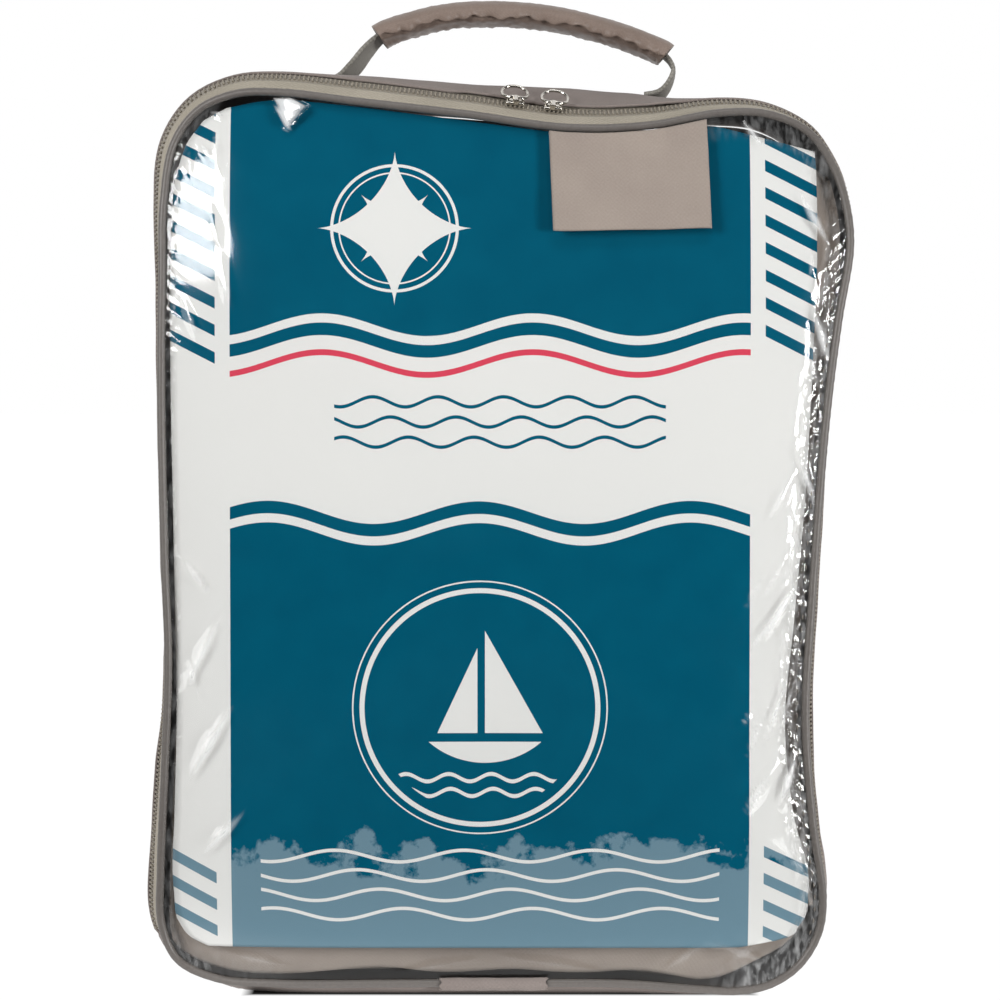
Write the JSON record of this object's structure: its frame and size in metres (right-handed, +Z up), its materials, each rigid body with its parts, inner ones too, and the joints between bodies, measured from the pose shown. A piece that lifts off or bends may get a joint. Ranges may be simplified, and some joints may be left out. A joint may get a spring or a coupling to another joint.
{
  "type": "folded boat cover in a zipped carry bag",
  "caption": "Folded polyester boat cover packed in an upright zipped carry bag with a clear front window, printed card, piped seam and padded top handle.",
  "frame": {"origin": "on the floor, under the middle of the bag's box", "axes": "+Z up, +X to the right seen from the front, +Y from the clear front to the back"},
  "size_m": [0.2869, 0.1076, 0.4053],
  "materials": {
    "clear_film": "clear soft PVC film, glossy and slightly creased",
    "printed_card": null,
    "cover_cloth": "taupe grey polyester, plain weave, matt",
    "bag_cloth": "mauve grey coated polyester, plain weave, matt",
    "piping_vinyl": "grey vinyl over a round cord, satin",
    "zip_tape": "beige grey woven polyester tape",
    "zip_coil": "grey nylon coil, satin",
    "nickel": "nickel plated zinc, polished",
    "webbing": "grey woven polyester strap",
    "sleeve_cloth": "brown grey polyester, smooth with a soft sheen"
  },
  "bodies": {
    "root": {"window": "clear_film", "card": "printed_card", "folded_cover": "cover_cloth", "cloth_flap": "cover_cloth", "gusset": "bag_cloth", "back_panel": "bag_cloth", "piping": "piping_vinyl", "piping_joint_cover": "bag_cloth", "zip_tape_front": "zip_tape", "zip_tape_back": "zip_tape", "zip_chain": "zip_coil", "slider_left": "nickel", "slider_right": "nickel", "pull_left": "nickel", "pull_right": "nickel", "handle_webbing": "webbing", "handle_sleeve": "sleeve_cloth"}
  },
  "joints": []
}
